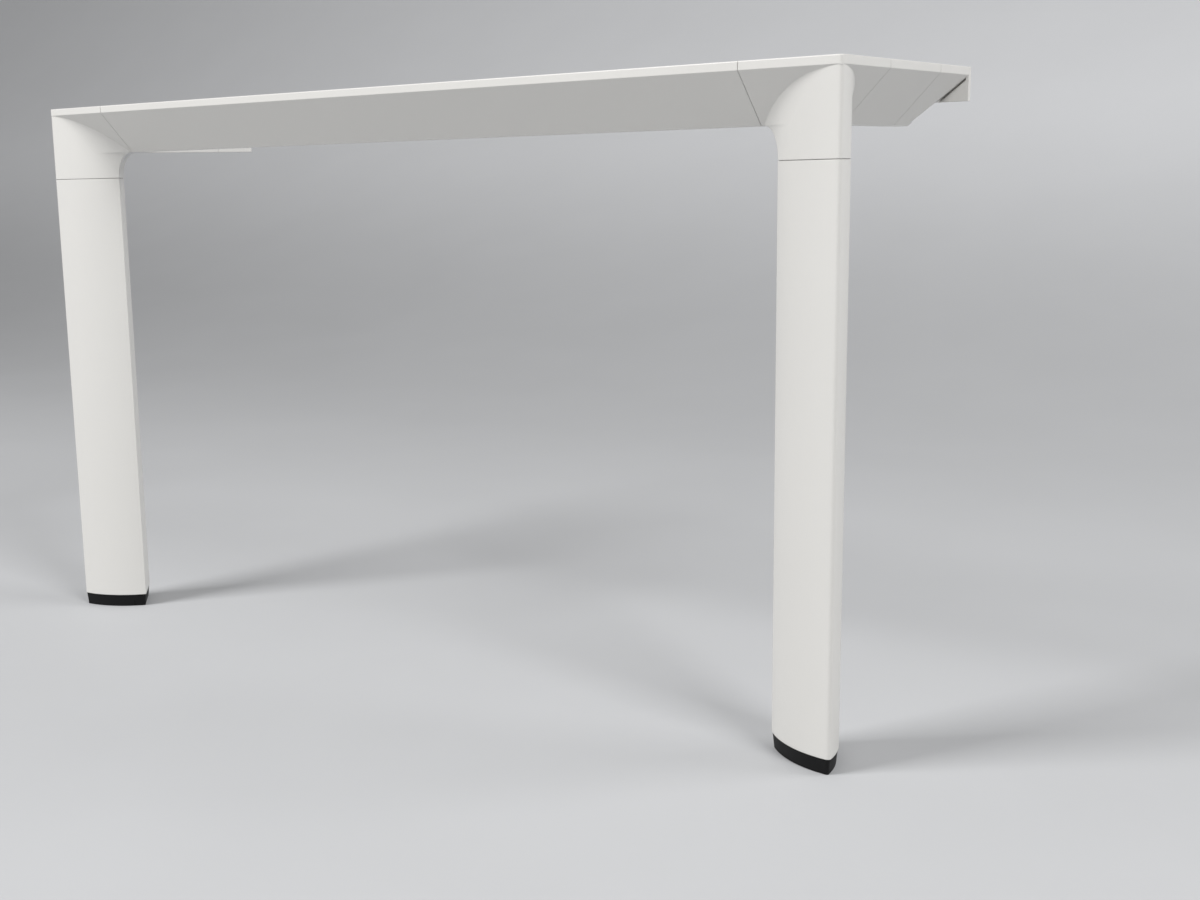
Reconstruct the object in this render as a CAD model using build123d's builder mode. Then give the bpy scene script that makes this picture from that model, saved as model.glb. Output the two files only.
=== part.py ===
from build123d import *
from math import atan2, cos, degrees, hypot, radians, sin, sqrt
import os

os.makedirs("parts", exist_ok=True)

# Half of a table frame: a front rail between two corner castings, a leg under each corner,
# and a return rail behind each corner that ends in a docking plate. Millimetres, +X along the
# front rail, +Y to the back, +Z up, with the origin on the floor under the middle of the frame.
# The left-hand pieces are modelled, and their mirror images make the right-hand ones.

# Overall size
FRAME_LENGTH = 1200.0
FRAME_DEPTH = 330.0
FRAME_HEIGHT = 720.0

# Rail section: a top flange with a thin lip outside, a slope under it and a flat bottom inside
RAIL_WIDTH = 80.0
RAIL_DEPTH = 62.0
RAIL_LIP = 9.0
RAIL_SLOPE_RUN = 51.0
RAIL_WALL = 2.5
EDGE_RADIUS = 1.0
TOP_EDGE = 0.6
GROOVE_HEIGHT = 12.0
GROOVE_DEPTH = 10.0
GROOVE_FOOT = 6.5

# Screw port that runs along each rail
PORT_EDGE = 20.0
PORT_DROP = 33.0
PORT_WALL = 3.0
PORT_WEB = 4.0
THREAD_CLEARANCE = 0.05

# Shadow line at each joint: the outer skin stands back from the faces that touch
SEAM_GAP = 0.6
SEAM_INSET = 1.2

# Corner casting
NODE_ARM = 111.0
NODE_HEIGHT = 97.0
CORNER_RADIUS = 4.5
POCKET_RIM = 13.0
POCKET_CORNER = 8.0
POCKET_FLOOR = 6.0
SEAM_WALL = 6.0
DIAGONAL_WALL = 7.0
NODE_WALL = 5.0
LOCATOR_BORE = 12.0
LOCATOR_IN = 39.0
LOCATOR_DROP = 24.0
CABLE_BORE = 10.0
CABLE_DROP = 50.0

# Leg: a shield section, symmetric about the corner's diagonal, that narrows to the floor
LEG_EDGE_ALONG = 88.5
LEG_EDGE_IN = 43.5
LEG_START_ANGLE = 1.5
LEG_LAND = 4.0
LEG_NARROWING = 1.0
LEG_WALL = 6.0
LEG_HEAD = 16.0
LEG_EDGE_RADIUS = 2.0
LEAST_RADIUS = 0.5

# Flare from the leg into the rails
FLARE_HEIGHT = 34.0
FLARE_TIP_SETBACK = 3.0
CREASE_DROP = 118.0
CREASE_START_ANGLE = 10.0
CREASE_POWER = 1.6
FLARE_TURNS = (0, 12, 28, 45, 65, 90)
FLARE_SHARES = (1, 0.75, 0.5, 0.25, 0)

# Foot cap
FOOT_HEIGHT = 17.0
FOOT_STEP = 0.8
FOOT_DRAFT = 1.6
FOOT_PLUG = 20.0
FOOT_PLUG_WALL = 4.0
FOOT_CLEARANCE = 0.2

# Return end
END_LENGTH = 88.0
END_OUTER_LENGTH = 36.0
END_INNER_LENGTH = 69.0
END_STEP = 5.5
END_WALL = 4.0
PLATE_THICKNESS = 8.0
PLATE_HEIGHT = 37.0
PLATE_BARE_WIDTH = 36.0
PLATE_GROOVE_WIDTH = 2.4
PLATE_GROOVE_DEPTH = 6.0
PLATE_GROOVE_EDGE = 3.0
PLATE_SCREW_EDGE = 9.5
PLATE_SCREW_DROP = 8.5
PLATE_BOSS_RADIUS = 6.0
PLATE_BOSS_LENGTH = 18.0
DOCK_BORE = 9.0
DOCK_SPACING = 24.0
DOCK_EDGE = 24.0
DOCK_DROP = 21.0

# Fasteners
BOLT_SIZE = 10.0
BOLT_HEAD = 16.0
BOLT_HEAD_HEIGHT = 10.0
BOLT_SOCKET = 8.0
BOLT_SOCKET_DEPTH = 5.0
BOLT_EDGE = 0.8
BOLT_CLEARANCE = 0.5
BOLT_GRIP = 22.0
WASHER_SIZE = 20.0
WASHER_THICKNESS = 2.0
WASHER_EDGE = 0.4
LEG_BOLT_ALONG = 58.0
LEG_BOLT_IN = 40.0
LEG_BOLT_SEAT = 60.0
LEG_BOLT_GRIP = 12.0
LEG_BOLT_WELL_CLEARANCE = 1.0
PLATE_SCREW_SIZE = 5.0
PLATE_SCREW_HEAD = 10.0
PLATE_SCREW_LENGTH = 20.0
PLATE_SCREW_SOCKET = 3.0
PLATE_SCREW_SOCKET_DEPTH = 1.6
COUNTERSINK_SLOPE = 45.0

# Places worked out from those sizes
LEFT = -FRAME_LENGTH / 2
FRONT = -FRAME_DEPTH / 2
BACK = FRAME_DEPTH / 2
TOP = FRAME_HEIGHT
SLOPE_DROP = RAIL_DEPTH - RAIL_LIP
LEG_TOP = FRAME_HEIGHT - NODE_HEIGHT
CREASE_FOOT = FRAME_HEIGHT - CREASE_DROP
RAIL_UNDERSIDE = FRAME_HEIGHT - RAIL_DEPTH
PLATE_FACE = BACK - PLATE_THICKNESS
END_SEAM = BACK - END_LENGTH
SIDE_SEAM = FRONT + NODE_ARM
FRONT_SEAM = LEFT + NODE_ARM
FLARE_TIP = (NODE_ARM - FLARE_TIP_SETBACK, RAIL_SLOPE_RUN)
GROOVE_LEVEL = GROOVE_FOOT + GROOVE_HEIGHT / 2 - RAIL_DEPTH
GROOVE_HOUSING = GROOVE_DEPTH + RAIL_WALL
PORT_IN = RAIL_WIDTH - PORT_EDGE
PORT_RADIUS = BOLT_SIZE / 2 + PORT_WALL
BOLT_BORE = BOLT_SIZE / 2 + BOLT_CLEARANCE
THREAD_BORE = BOLT_SIZE / 2 + THREAD_CLEARANCE
PLATE_SCREW_BORE = PLATE_SCREW_SIZE / 2 + THREAD_CLEARANCE
FOOT_SCALE = 1 - LEG_NARROWING / LEG_EDGE_ALONG
CORNER = Plane(origin=(LEFT, FRONT, 0))


def arc_radius(end, start_angle):
    """Radius of the arc from the corner to a point, given its starting angle in degrees."""
    chord_angle = degrees(atan2(end[1], end[0]))
    return hypot(*end) / (2 * sin(radians(chord_angle - start_angle)))


def arc_point(radius, start_angle, angle):
    """Point on that arc where its tangent has turned to an angle in degrees."""
    start = radians(start_angle)
    turned = radians(angle)
    return (radius * (sin(turned) - sin(start)), radius * (cos(start) - cos(turned)))


LEG_RADIUS = arc_radius((LEG_EDGE_ALONG, LEG_EDGE_IN), LEG_START_ANGLE)
LEG_END_ANGLE = 2 * degrees(atan2(LEG_EDGE_IN, LEG_EDGE_ALONG)) - LEG_START_ANGLE
LEG_CREASE_ANGLE = LEG_END_ANGLE - degrees(LEG_LAND / LEG_RADIUS)
FLARE_ARC_RADIUS = arc_radius(FLARE_TIP, LEG_START_ANGLE)


def shield(height, edge, crease_angle, scale=1.0, inset=0.0):
    """Leg section at a height: an arc from the corner to the crease, a straight land to the edge,
    and the same again on the other side of the diagonal."""
    crease = arc_point(LEG_RADIUS, LEG_START_ANGLE, crease_angle)
    middle = arc_point(LEG_RADIUS, LEG_START_ANGLE, (LEG_START_ANGLE + crease_angle) / 2)
    crease, middle, edge = [(scale * u, scale * v) for u, v in (crease, middle, edge)]
    with BuildSketch(CORNER.offset(height)) as section:
        with BuildLine():
            ThreePointArc((0, 0), middle, crease)
            Polyline(crease, edge, edge[::-1], crease[::-1])
            ThreePointArc(crease[::-1], middle[::-1], (0, 0))
        make_face()
        if inset:
            offset(amount=-inset, kind=Kind.INTERSECTION, mode=Mode.REPLACE)
        ends = section.vertices().sort_by_distance((0, 0))
        fillet(ends[0], radius=max(CORNER_RADIUS - inset, LEAST_RADIUS))
        fillet(ends[-2:], radius=max(LEG_EDGE_RADIUS - inset, LEAST_RADIUS))
    return section.sketch.face()


def leg_section(height, scale=1.0, inset=0.0):
    """Plain leg section, below the flare."""
    return shield(height, (LEG_EDGE_ALONG, LEG_EDGE_IN), LEG_CREASE_ANGLE, scale, inset)


def crease_angle(drop):
    """Where the crease stands on the leg's face, at a drop below the top."""
    rise = (CREASE_DROP - drop) / (CREASE_DROP - RAIL_LIP)
    return LEG_CREASE_ANGLE - (LEG_CREASE_ANGLE - CREASE_START_ANGLE) * rise**CREASE_POWER


def lower_flare_section(turn):
    """Section under the rails, where the leg's edge has turned by an angle out of the upright."""
    run = 1 - cos(radians(turn))
    drop = RAIL_DEPTH + FLARE_HEIGHT * (1 - sin(radians(turn)))
    edge = (
        LEG_EDGE_ALONG + run * (FLARE_TIP[0] - LEG_EDGE_ALONG),
        LEG_EDGE_IN + run * (FLARE_TIP[1] - LEG_EDGE_IN),
    )
    return shield(TOP - drop, edge, crease_angle(drop))


def upper_flare_section(share):
    """Section between the rails' bottom (share 1) and the lip (share 0), through the sharp edge
    that the flare makes with the slope, and on to a point hidden inside the arm."""
    inward = share * RAIL_SLOPE_RUN
    drop = RAIL_LIP + share * SLOPE_DROP
    start = radians(LEG_START_ANGLE)
    height = FLARE_ARC_RADIUS * cos(start) - inward
    along = sqrt(FLARE_ARC_RADIUS**2 - height**2) - FLARE_ARC_RADIUS * sin(start)
    crease = arc_point(LEG_RADIUS, LEG_START_ANGLE, crease_angle(drop))
    slope = (inward - crease[1]) / (along - crease[0])
    edge = (FLARE_TIP[0], crease[1] + slope * (FLARE_TIP[0] - crease[0]))
    return shield(TOP - drop, edge, crease_angle(drop))


def across_x(x):
    """Plane across a rail that runs along X: its axes are inward and up, from the outer top edge."""
    return Plane(origin=(x, FRONT, TOP), x_dir=(0, 1, 0), z_dir=(1, 0, 0))


def across_y(y):
    """Plane across a rail that runs along Y, facing the front."""
    return Plane(origin=(LEFT, y, TOP), x_dir=(1, 0, 0), z_dir=(0, -1, 0))


def rail_outline(plane, inner=RAIL_WIDTH, inset=0.0, rounded=True):
    """Outer outline of the rail on a plane across it."""
    with BuildSketch(plane) as outline:
        with BuildLine():
            Polyline(
                (0, 0), (inner, 0), (inner, -RAIL_DEPTH), (RAIL_SLOPE_RUN, -RAIL_DEPTH), (0, -RAIL_LIP),
                close=True,
            )
        make_face()
        if rounded:
            fillet(outline.vertices().group_by(Axis.Y)[-1], radius=EDGE_RADIUS)
        if inset:
            offset(amount=-inset, kind=Kind.INTERSECTION, mode=Mode.REPLACE)
    return outline.sketch


def rail_section(plane, skin_inset=0.0):
    """Hollow rail section with its groove and screw port, less a skin of the given thickness."""
    with BuildSketch(plane) as section:
        add(rail_outline(Plane.XY))
        add(rail_outline(Plane.XY, inset=RAIL_WALL), mode=Mode.SUBTRACT)
        with Locations((RAIL_WIDTH - GROOVE_HOUSING / 2, GROOVE_LEVEL)):
            Rectangle(GROOVE_HOUSING, GROOVE_HEIGHT + 2 * RAIL_WALL)
        with Locations((RAIL_WIDTH - GROOVE_DEPTH / 2, GROOVE_LEVEL)):
            Rectangle(GROOVE_DEPTH, GROOVE_HEIGHT, mode=Mode.SUBTRACT)
        with Locations((PORT_IN, -PORT_DROP / 2 - RAIL_WALL / 4)):
            Rectangle(PORT_WEB, PORT_DROP - RAIL_WALL / 2)
        with Locations((PORT_IN, -PORT_DROP)):
            Circle(PORT_RADIUS)
            Circle(THREAD_BORE, mode=Mode.SUBTRACT)
        if skin_inset:
            add(rail_outline(Plane.XY, inset=skin_inset), mode=Mode.INTERSECT)
    return section.sketch


def save(piece, name):
    """Names a finished piece and writes it."""
    piece.part.label = name
    export_step(piece.part, f"parts/{name}.step")


# Front rail: the full skin stops short of the seams, and the land inside it touches the castings
FRONT_RAIL_LENGTH = -2 * FRONT_SEAM
with BuildPart() as front_rail:
    extrude(rail_section(across_x(FRONT_SEAM + SEAM_GAP)), amount=FRONT_RAIL_LENGTH - 2 * SEAM_GAP)
    extrude(rail_section(across_x(FRONT_SEAM), SEAM_INSET), amount=FRONT_RAIL_LENGTH)
save(front_rail, "front_rail")

# Side rail
SIDE_RAIL_LENGTH = END_SEAM - SIDE_SEAM
with BuildPart() as left_side_rail:
    extrude(rail_section(across_y(END_SEAM - SEAM_GAP)), amount=SIDE_RAIL_LENGTH - 2 * SEAM_GAP)
    extrude(rail_section(across_y(END_SEAM), SEAM_INSET), amount=SIDE_RAIL_LENGTH)

# Flare under the rails, which the leg and the corner casting share
with BuildPart() as lower_flare:
    loft(sections=[leg_section(CREASE_FOOT), lower_flare_section(FLARE_TURNS[0])], ruled=True)
    loft(sections=[lower_flare_section(turn) for turn in FLARE_TURNS])

# Pocket of the corner casting: straight walls at the top, then sloping in above the rails' slope
POCKET_SIDE = NODE_ARM - SEAM_WALL
POCKET_INNER = NODE_ARM + RAIL_WIDTH - DIAGONAL_WALL * sqrt(2) - POCKET_SIDE
POCKET_DROP = RAIL_DEPTH - POCKET_FLOOR
SLOPE_SHIFT = NODE_WALL * hypot(RAIL_SLOPE_RUN, SLOPE_DROP) / SLOPE_DROP


def pocket_profile(plane):
    """Upright section of the pocket, with its floor and its sloping wall."""
    slope = RAIL_SLOPE_RUN / SLOPE_DROP
    rim_drop = RAIL_LIP + (POCKET_RIM - SLOPE_SHIFT) / slope
    floor_in = (POCKET_DROP - RAIL_LIP) * slope + SLOPE_SHIFT
    with BuildSketch(plane) as profile:
        with BuildLine():
            Polyline(
                (POCKET_RIM, POCKET_FLOOR), (NODE_ARM, POCKET_FLOOR), (NODE_ARM, -POCKET_DROP),
                (floor_in, -POCKET_DROP), (POCKET_RIM, -rim_drop), close=True,
            )
        make_face()
    return profile.sketch


with BuildPart() as pocket:
    with BuildSketch(CORNER.offset(TOP - POCKET_DROP)):
        with BuildLine():
            Polyline(
                (POCKET_RIM + POCKET_CORNER, POCKET_RIM), (POCKET_SIDE, POCKET_RIM),
                (POCKET_SIDE, POCKET_INNER), (POCKET_INNER, POCKET_SIDE),
                (POCKET_RIM, POCKET_SIDE), (POCKET_RIM, POCKET_RIM + POCKET_CORNER), close=True,
            )
        make_face()
    extrude(amount=RAIL_DEPTH)
    extrude(pocket_profile(across_x(LEFT)), amount=NODE_ARM, mode=Mode.INTERSECT)
    extrude(pocket_profile(across_y(FRONT)), amount=-NODE_ARM, mode=Mode.INTERSECT)

# Corner casting
LEG_BOLTS = [(LEG_BOLT_ALONG, LEG_BOLT_IN), (LEG_BOLT_IN, LEG_BOLT_ALONG)]
WELL_RADIUS = BOLT_HEAD / 2 + LEG_BOLT_WELL_CLEARANCE
with BuildPart() as left_corner_casting:
    extrude(rail_outline(across_x(LEFT), NODE_ARM, rounded=False), amount=NODE_ARM)
    extrude(rail_outline(across_y(FRONT), NODE_ARM, rounded=False), amount=-NODE_ARM, mode=Mode.INTERSECT)
    with BuildSketch(CORNER.offset(RAIL_UNDERSIDE)) as plan:
        with BuildLine():
            Polyline(
                (0, 0), (NODE_ARM, 0), (NODE_ARM, RAIL_WIDTH), (RAIL_WIDTH, NODE_ARM), (0, NODE_ARM),
                close=True,
            )
        make_face()
        fillet(plan.vertices().sort_by_distance((0, 0))[0], radius=CORNER_RADIUS)
    extrude(amount=RAIL_DEPTH, mode=Mode.INTERSECT)
    chamfer(left_corner_casting.edges().group_by(Axis.Z)[-1], length=TOP_EDGE)
    loft(sections=[upper_flare_section(share) for share in FLARE_SHARES])
    add(split(lower_flare.part, bisect_by=CORNER.offset(LEG_TOP), mode=Mode.PRIVATE))
    add(pocket.part, mode=Mode.SUBTRACT)
    for seam in (across_x(FRONT_SEAM), across_y(SIDE_SEAM)):
        with BuildSketch(seam):
            with Locations((PORT_IN, -PORT_DROP)):
                Circle(BOLT_BORE)
            with Locations((LOCATOR_IN, -LOCATOR_DROP)):
                Circle(LOCATOR_BORE / 2)
            with Locations((PORT_IN, -CABLE_DROP)):
                Circle(CABLE_BORE / 2)
        extrude(amount=SEAM_WALL, both=True, mode=Mode.SUBTRACT)
    with BuildSketch(CORNER.offset(TOP - LEG_BOLT_SEAT)):
        with Locations(*LEG_BOLTS):
            Circle(WELL_RADIUS)
    extrude(amount=LEG_BOLT_SEAT, mode=Mode.SUBTRACT)
    with BuildSketch(CORNER.offset(LEG_TOP)):
        with Locations(*LEG_BOLTS):
            Circle(BOLT_BORE)
    extrude(amount=NODE_HEIGHT, mode=Mode.SUBTRACT)

# Leg: hollow below a solid head, with the start of the flare on its top end
with BuildPart() as left_leg:
    loft(sections=[leg_section(FOOT_HEIGHT, FOOT_SCALE), leg_section(CREASE_FOOT)], ruled=True)
    add(
        split(
            lower_flare.part, bisect_by=CORNER.offset(LEG_TOP - SEAM_GAP), keep=Keep.BOTTOM,
            mode=Mode.PRIVATE,
        )
    )
    extrude(leg_section(LEG_TOP - SEAM_GAP, inset=SEAM_INSET), amount=SEAM_GAP)
    loft(
        sections=[
            leg_section(FOOT_HEIGHT, FOOT_SCALE, LEG_WALL),
            leg_section(LEG_TOP - LEG_HEAD, inset=LEG_WALL),
        ],
        ruled=True, mode=Mode.SUBTRACT,
    )
    with BuildSketch(CORNER.offset(LEG_TOP)):
        with Locations(*LEG_BOLTS):
            Circle(THREAD_BORE)
    extrude(amount=-LEG_HEAD, mode=Mode.SUBTRACT)

# Foot cap with a hollow plug that fills the end of the leg
PLUG_INSET = LEG_WALL + FOOT_CLEARANCE
with BuildPart() as left_foot:
    loft(
        sections=[
            leg_section(0, FOOT_SCALE, FOOT_STEP + FOOT_DRAFT),
            leg_section(FOOT_HEIGHT, FOOT_SCALE, FOOT_STEP),
        ],
        ruled=True,
    )
    extrude(leg_section(FOOT_HEIGHT, FOOT_SCALE, PLUG_INSET), amount=FOOT_PLUG)
    extrude(
        leg_section(FOOT_HEIGHT, FOOT_SCALE, PLUG_INSET + FOOT_PLUG_WALL), amount=FOOT_PLUG,
        mode=Mode.SUBTRACT,
    )

# Return end: a shell that is cut away below, so that the docking plate stands bare on its outer side
# and its bolts can be reached from underneath
END_BODY = END_LENGTH - PLATE_THICKNESS
PLATE_SCREWS = [(PLATE_SCREW_EDGE, -PLATE_SCREW_DROP), (RAIL_WIDTH - PLATE_SCREW_EDGE, -PLATE_SCREW_DROP)]
SIDE = Plane(origin=(LEFT, 0, 0), x_dir=(0, 1, 0), z_dir=(1, 0, 0))
STEP_TOP = RAIL_UNDERSIDE + END_STEP
STEP_IN = RAIL_SLOPE_RUN * (1 - END_STEP / SLOPE_DROP)
LIP_END = Vector(LEFT, PLATE_FACE, TOP - RAIL_LIP)
STEP_END = Vector(LEFT + STEP_IN, END_SEAM + END_OUTER_LENGTH, STEP_TOP)
PLATE_CORNER = Vector(LEFT + PLATE_BARE_WIDTH, PLATE_FACE, TOP - PLATE_HEIGHT)
OBLIQUE = Plane(origin=LIP_END, z_dir=(STEP_END - LIP_END).cross(PLATE_CORNER - LIP_END))

with BuildPart() as oblique_cut:
    with BuildSketch(SIDE):
        with BuildLine():
            Polyline(
                (STEP_END.Y, RAIL_UNDERSIDE), (PLATE_FACE, RAIL_UNDERSIDE), (PLATE_FACE, TOP),
                (STEP_END.Y, TOP), close=True,
            )
        make_face()
    extrude(amount=RAIL_WIDTH)
    split(bisect_by=OBLIQUE, keep=Keep.BOTTOM)

with BuildPart() as left_end_piece:
    extrude(rail_outline(across_y(END_SEAM)), amount=-END_BODY)
    extrude(
        rail_outline(across_y(END_SEAM + SEAM_WALL), inset=END_WALL), amount=SEAM_WALL - END_BODY,
        mode=Mode.SUBTRACT,
    )
    with BuildSketch(across_y(END_SEAM + SEAM_WALL)):
        with Locations((RAIL_WIDTH - GROOVE_HOUSING / 2, GROOVE_LEVEL)):
            Rectangle(GROOVE_HOUSING, GROOVE_HEIGHT + 2 * RAIL_WALL)
    extrude(amount=SEAM_WALL - END_BODY)
    with BuildSketch(across_y(END_SEAM)):
        with Locations((RAIL_WIDTH - GROOVE_DEPTH / 2, GROOVE_LEVEL)):
            Rectangle(GROOVE_DEPTH, GROOVE_HEIGHT)
    extrude(amount=-END_BODY, mode=Mode.SUBTRACT)
    with BuildSketch(across_y(PLATE_FACE)):
        with Locations(*PLATE_SCREWS):
            Circle(PLATE_BOSS_RADIUS)
    extrude(amount=PLATE_BOSS_LENGTH)
    with BuildSketch(across_y(PLATE_FACE)):
        with Locations(*PLATE_SCREWS):
            Circle(PLATE_SCREW_BORE)
    extrude(amount=PLATE_BOSS_LENGTH, mode=Mode.SUBTRACT)
    add(oblique_cut.part, mode=Mode.SUBTRACT)
    with BuildSketch(SIDE):
        with BuildLine():
            Polyline(
                (END_SEAM + END_INNER_LENGTH, RAIL_UNDERSIDE), (END_SEAM + END_INNER_LENGTH, STEP_TOP),
                (PLATE_FACE, TOP - PLATE_HEIGHT), (PLATE_FACE, RAIL_UNDERSIDE), close=True,
            )
        make_face()
    extrude(amount=RAIL_WIDTH, mode=Mode.SUBTRACT)
    with BuildSketch(across_y(END_SEAM)):
        with Locations((PORT_IN, -PORT_DROP)):
            Circle(BOLT_BORE)
    extrude(amount=-SEAM_WALL, mode=Mode.SUBTRACT)

# Docking plate, with a shadow groove along the oblique edge of the shell
DOCK_IN = RAIL_WIDTH - DOCK_EDGE
DOCK_HOLES = [(DOCK_IN - DOCK_SPACING / 2, -DOCK_DROP), (DOCK_IN + DOCK_SPACING / 2, -DOCK_DROP)]
BACK_FACE = Plane(origin=(LEFT, BACK, TOP), x_dir=(-1, 0, 0), z_dir=(0, 1, 0))
PLATE_GROOVE_SLOPE = (PLATE_HEIGHT - RAIL_LIP) / PLATE_BARE_WIDTH
PLATE_GROOVE_FALL = PLATE_GROOVE_WIDTH * hypot(1, PLATE_GROOVE_SLOPE)
PLATE_GROOVE_TOP = -RAIL_LIP - PLATE_GROOVE_EDGE * PLATE_GROOVE_SLOPE
with BuildPart() as left_docking_plate:
    with BuildSketch(across_y(BACK)):
        with Locations((RAIL_WIDTH / 2, -PLATE_HEIGHT / 2)):
            Rectangle(RAIL_WIDTH, PLATE_HEIGHT)
        with Locations(*DOCK_HOLES):
            Circle(DOCK_BORE / 2, mode=Mode.SUBTRACT)
    extrude(amount=PLATE_THICKNESS)
    chamfer(left_docking_plate.faces().sort_by(Axis.Y)[-1].outer_wire().edges(), length=EDGE_RADIUS)
    with BuildSketch(across_y(PLATE_FACE)):
        with BuildLine():
            Polyline(
                (PLATE_GROOVE_EDGE, PLATE_GROOVE_TOP),
                (PLATE_BARE_WIDTH, -PLATE_HEIGHT),
                (PLATE_BARE_WIDTH, -PLATE_HEIGHT - PLATE_GROOVE_FALL),
                (PLATE_GROOVE_EDGE, PLATE_GROOVE_TOP - PLATE_GROOVE_FALL),
                close=True,
            )
        make_face()
    extrude(amount=-PLATE_GROOVE_DEPTH, mode=Mode.SUBTRACT)
    with Locations(BACK_FACE):
        with Locations(*[(-u, v) for u, v in PLATE_SCREWS]):
            CounterSinkHole(PLATE_SCREW_BORE, PLATE_SCREW_HEAD / 2 + THREAD_CLEARANCE)

# Screws and washers
BOLT_REACH = WASHER_THICKNESS + SEAM_WALL


def seat(x, y, drop, direction):
    """Plane on which a bolt's head sits, facing along its shank."""
    return Plane(origin=(x, y, TOP - drop), z_dir=direction)


def bolt(plane, reach):
    """Socket-head bolt whose head sits on a plane, with a shank of the given length."""
    with BuildPart() as screw:
        with BuildSketch(plane):
            Circle(BOLT_HEAD / 2)
        extrude(amount=-BOLT_HEAD_HEIGHT)
        with BuildSketch(plane.offset(-BOLT_HEAD_HEIGHT)):
            RegularPolygon(BOLT_SOCKET / 2, 6, major_radius=False)
        extrude(amount=BOLT_SOCKET_DEPTH, mode=Mode.SUBTRACT)
        with BuildSketch(plane):
            Circle(BOLT_SIZE / 2)
        extrude(amount=reach)
        chamfer(screw.edges().filter_by(GeomType.CIRCLE).sort_by(SortBy.RADIUS)[-2:], length=BOLT_EDGE)
    return screw.part


FRONT_SEAT = seat(FRONT_SEAM - BOLT_REACH, FRONT + PORT_IN, PORT_DROP, (1, 0, 0))
SIDE_SEAT = seat(LEFT + PORT_IN, SIDE_SEAM - BOLT_REACH, PORT_DROP, (0, 1, 0))
END_SEAT = seat(LEFT + PORT_IN, END_SEAM + BOLT_REACH, PORT_DROP, (0, -1, 0))
left_hand = {
    "side_rail": left_side_rail,
    "corner_casting": left_corner_casting,
    "leg": left_leg,
    "foot": left_foot,
    "end_piece": left_end_piece,
    "docking_plate": left_docking_plate,
}

for place, plane in (("front_rail", FRONT_SEAT), ("side_rail", SIDE_SEAT), ("end_piece", END_SEAT)):
    with BuildPart() as screw:
        add(bolt(plane, BOLT_REACH + BOLT_GRIP))
    left_hand[f"{place}_screw"] = screw
    with BuildPart() as washer:
        with BuildSketch(plane):
            Circle(WASHER_SIZE / 2)
            Circle(BOLT_BORE, mode=Mode.SUBTRACT)
        extrude(amount=WASHER_THICKNESS)
        chamfer(washer.edges().filter_by(GeomType.CIRCLE).sort_by(SortBy.RADIUS)[-2:], length=WASHER_EDGE)
    left_hand[f"{place}_washer"] = washer

LEG_BOLT_REACH = NODE_HEIGHT - LEG_BOLT_SEAT + LEG_BOLT_GRIP
with BuildPart() as leg_screws:
    for along, inward in LEG_BOLTS:
        add(bolt(seat(LEFT + along, FRONT + inward, LEG_BOLT_SEAT, (0, 0, -1)), LEG_BOLT_REACH))
left_hand["leg_screws"] = leg_screws

with BuildPart() as plate_screws:
    with BuildSketch(BACK_FACE):
        with Locations(*[(-u, v) for u, v in PLATE_SCREWS]):
            Circle(PLATE_SCREW_HEAD / 2)
    extrude(amount=(PLATE_SCREW_SIZE - PLATE_SCREW_HEAD) / 2, taper=COUNTERSINK_SLOPE)
    with BuildSketch(BACK_FACE):
        with Locations(*[(-u, v) for u, v in PLATE_SCREWS]):
            Circle(PLATE_SCREW_SIZE / 2)
    extrude(amount=-PLATE_SCREW_LENGTH)
    with BuildSketch(BACK_FACE):
        with Locations(*[(-u, v) for u, v in PLATE_SCREWS]):
            RegularPolygon(PLATE_SCREW_SOCKET / 2, 6, major_radius=False)
    extrude(amount=-PLATE_SCREW_SOCKET_DEPTH, mode=Mode.SUBTRACT)
left_hand["plate_screws"] = plate_screws

# Every left-hand piece and its mirror image on the right
for name, piece in left_hand.items():
    save(piece, f"left_{name}")
    with BuildPart() as twin:
        mirror(piece.part, about=Plane.YZ)
    save(twin, f"right_{name}")
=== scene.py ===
"""Looks of a table frame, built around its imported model.

The rails, corner castings, legs, return ends and docking plates are powder coated in off-white. The open
pocket of each corner casting is bare cast metal, its screws and washers are plated steel, and the legs
stand on black moulded foot caps. Lengths are in metres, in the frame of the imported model.
"""

import logging
import math
from dataclasses import dataclass
from enum import Enum
from typing import List, Mapping, Optional, Sequence, Tuple, Union

import bmesh
import bpy
from mathutils import Matrix, Vector


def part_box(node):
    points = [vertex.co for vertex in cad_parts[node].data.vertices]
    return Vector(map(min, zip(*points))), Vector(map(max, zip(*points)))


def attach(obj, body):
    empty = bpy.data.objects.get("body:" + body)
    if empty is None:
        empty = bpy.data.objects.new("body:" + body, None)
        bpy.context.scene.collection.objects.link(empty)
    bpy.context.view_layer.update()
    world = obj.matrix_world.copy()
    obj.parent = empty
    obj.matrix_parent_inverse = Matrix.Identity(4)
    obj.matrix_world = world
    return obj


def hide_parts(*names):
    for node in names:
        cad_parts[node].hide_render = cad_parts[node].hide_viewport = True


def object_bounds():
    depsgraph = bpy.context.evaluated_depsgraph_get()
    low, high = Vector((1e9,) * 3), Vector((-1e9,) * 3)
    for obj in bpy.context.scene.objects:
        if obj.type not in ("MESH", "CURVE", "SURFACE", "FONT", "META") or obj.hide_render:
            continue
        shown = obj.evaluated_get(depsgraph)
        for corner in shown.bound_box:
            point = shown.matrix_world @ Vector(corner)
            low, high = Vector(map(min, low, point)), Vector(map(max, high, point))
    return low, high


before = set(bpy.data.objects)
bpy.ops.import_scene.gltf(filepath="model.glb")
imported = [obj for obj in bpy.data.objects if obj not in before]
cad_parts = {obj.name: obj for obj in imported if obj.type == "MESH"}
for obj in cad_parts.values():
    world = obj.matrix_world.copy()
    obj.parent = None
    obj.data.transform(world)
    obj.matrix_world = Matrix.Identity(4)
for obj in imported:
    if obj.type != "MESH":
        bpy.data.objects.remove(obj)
CAD_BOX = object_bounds()
CAD_LOW, CAD_HIGH = CAD_BOX

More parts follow.
